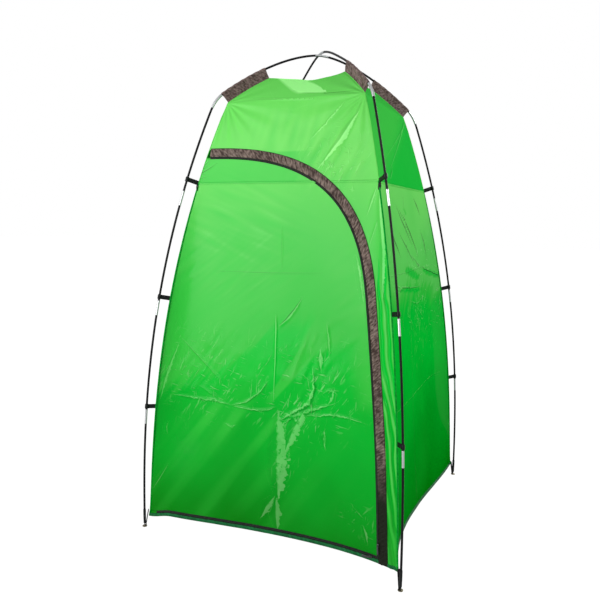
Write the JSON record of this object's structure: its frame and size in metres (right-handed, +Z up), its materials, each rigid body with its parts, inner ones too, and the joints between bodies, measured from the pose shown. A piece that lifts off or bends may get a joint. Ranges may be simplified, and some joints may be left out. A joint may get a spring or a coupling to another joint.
{
  "type": "shower tent",
  "caption": "Square pop-up shower tent: thin green fabric cabin clipped inside crossed shock-corded poles, open top, arched zip door.",
  "frame": {"origin": "on the ground under the crossing of the poles, at the middle of the square of feet", "axes": "+Z up, +X to the right seen from the door side, door side faces -Y"},
  "size_m": [1.12, 1.12, 2.0057],
  "materials": {
    "rod_black": "gloss",
    "ferrule_steel": "satin",
    "shock_cord": "matte",
    "green_fabric": "satin",
    "brown_fabric": "satin",
    "zip_black": "matte",
    "slider_metal": "satin",
    "clip_black": "satin",
    "foot_steel": "satin"
  },
  "bodies": {
    "cabin": {"pole_a_foot_rod": "rod_black", "pole_a_lower_rod": "rod_black", "pole_a_middle_rod": "rod_black", "pole_a_upper_rod": "rod_black", "pole_a_roof_rod": "rod_black", "pole_b_foot_rod": "rod_black", "pole_b_lower_rod": "rod_black", "pole_b_middle_rod": "rod_black", "pole_b_upper_rod": "rod_black", "pole_b_roof_rod": "rod_black", "pole_c_foot_rod": "rod_black", "pole_c_lower_rod": "rod_black", "pole_c_middle_rod": "rod_black", "pole_c_upper_rod": "rod_black", "pole_c_roof_rod": "rod_black", "pole_d_foot_rod": "rod_black", "pole_d_lower_rod": "rod_black", "pole_d_middle_rod": "rod_black", "pole_d_upper_rod": "rod_black", "pole_d_roof_rod": "rod_black", "centre_ferrule_ac": "ferrule_steel", "centre_ferrule_bd": "ferrule_steel", "shock_cord_ac": "shock_cord", "shock_cord_bd": "shock_cord", "left_lower_panel": "green_fabric", "left_upper_panel": "green_fabric", "back_lower_panel": "green_fabric", "back_upper_panel": "green_fabric", "right_lower_panel": "green_fabric", "right_upper_panel": "green_fabric", "front_upper_panel": "green_fabric", "front_lower_frame": "green_fabric", "pole_sleeve_a": "brown_fabric", "pole_sleeve_b": "brown_fabric", "pole_sleeve_c": "brown_fabric", "pole_sleeve_d": "brown_fabric", "storm_flap": "brown_fabric", "zip_coil": "zip_black", "clip_a_1": "clip_black", "clip_a_2": "clip_black", "clip_a_3": "clip_black", "clip_b_1": "clip_black", "clip_b_2": "clip_black", "clip_b_3": "clip_black", "clip_c_1": "clip_black", "clip_c_2": "clip_black", "clip_c_3": "clip_black", "clip_d_1": "clip_black", "clip_d_2": "clip_black", "clip_d_3": "clip_black", "foot_a": "foot_steel", "foot_b": "foot_steel", "foot_c": "foot_steel", "foot_d": "foot_steel"},
    "door": {"door_lower_panel": "green_fabric", "door_upper_panel": "green_fabric"},
    "arch_slider": {"arch_zip_slider": "slider_metal"},
    "arch_pull": {"arch_zip_pull": "slider_metal"},
    "hem_slider": {"hem_zip_slider": "slider_metal"},
    "hem_pull": {"hem_zip_pull": "slider_metal"}
  },
  "joints": [
    {"name": "door_swing", "type": "hinge", "parent": "cabin", "child": "door", "pos_m": [-0.50792, -0.54792, 0.085], "axis": [-0.1159, -0.122, -0.9857], "range_deg": [0, 110]},
    {"name": "arch_slider_travel", "type": "slide", "parent": "cabin", "child": "arch_slider", "axis": [-0.1039, 0.0984, 0.9897], "range_m": [0, 0.88]},
    {"name": "arch_pull_swing", "type": "hinge", "parent": "arch_slider", "child": "arch_pull", "pos_m": [0.45122, -0.51333, 0.12533], "axis": [-0.945, 0.3005, -0.129], "range_deg": [0, 165]},
    {"name": "hem_slider_travel", "type": "slide", "parent": "cabin", "child": "hem_slider", "axis": [-0.9996, -0.0278, 0], "range_m": [0, 0.88]},
    {"name": "hem_pull_swing", "type": "hinge", "parent": "hem_slider", "child": "hem_pull", "pos_m": [0.42512, -0.51243, 0.07561], "axis": [-0.0028, 0.1001, 0.995], "range_deg": [0, 165]}
  ]
}
